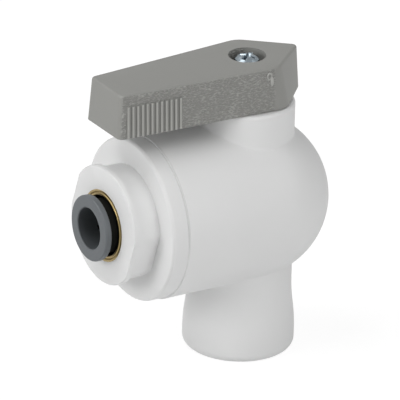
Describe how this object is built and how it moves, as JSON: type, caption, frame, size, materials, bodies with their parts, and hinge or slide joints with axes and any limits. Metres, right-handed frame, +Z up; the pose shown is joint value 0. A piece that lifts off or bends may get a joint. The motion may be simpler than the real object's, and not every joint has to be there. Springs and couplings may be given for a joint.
{
  "type": "elbow ball valve",
  "caption": "Angled quarter-turn ball valve of white plastic with a grey lever, a push-in tube connector at its side and an inside-threaded outlet below.",
  "frame": {"origin": "centre of the outlet's mouth, at the foot of the skirt", "axes": "+Z up along the outlet and the stem; the inlet connector points towards -X and the domed back towards +X"},
  "size_m": [0.0607, 0.0386, 0.0716],
  "materials": {
    "white_plastic": "satin, moulded",
    "grey_plastic": "matt, with grained sides",
    "slate_plastic": "satin, moulded",
    "natural_plastic": "satin, moulded",
    "ball_plastic": "polished",
    "seat_plastic": "smooth, waxy",
    "seal_rubber": "smooth",
    "brass": "turned",
    "stainless_steel": "sheared edges",
    "zinc_plated_steel": "bright zinc plate"
  },
  "bodies": {
    "valve": {"valve_body": "white_plastic", "end_cap": "white_plastic", "cap_seal": "seal_rubber", "brass_sleeve": "brass", "spacer_ring": "natural_plastic", "tube_seal": "seal_rubber", "inlet_seat": "seat_plastic", "outlet_seat": "seat_plastic", "rear_seat": "seat_plastic", "inlet_seat_spring": "seal_rubber", "outlet_seat_spring": "seal_rubber", "stem_washer": "seat_plastic"},
    "handle": {"lever": "grey_plastic", "lever_screw": "zinc_plated_steel", "stem": "natural_plastic", "ball": "ball_plastic", "lower_stem_seal": "seal_rubber", "upper_stem_seal": "seal_rubber"},
    "release": {"collet": "slate_plastic", "collet_teeth": "stainless_steel"}
  },
  "joints": [
    {"name": "lever_turn", "type": "hinge", "parent": "valve", "child": "handle", "pos_m": [0, 0, 0.0369], "axis": [0, 0, 1], "range_deg": [0, 90]},
    {"name": "collet_release", "type": "slide", "parent": "valve", "child": "release", "axis": [1, 0, 0], "range_m": [0, 0.0014]}
  ]
}
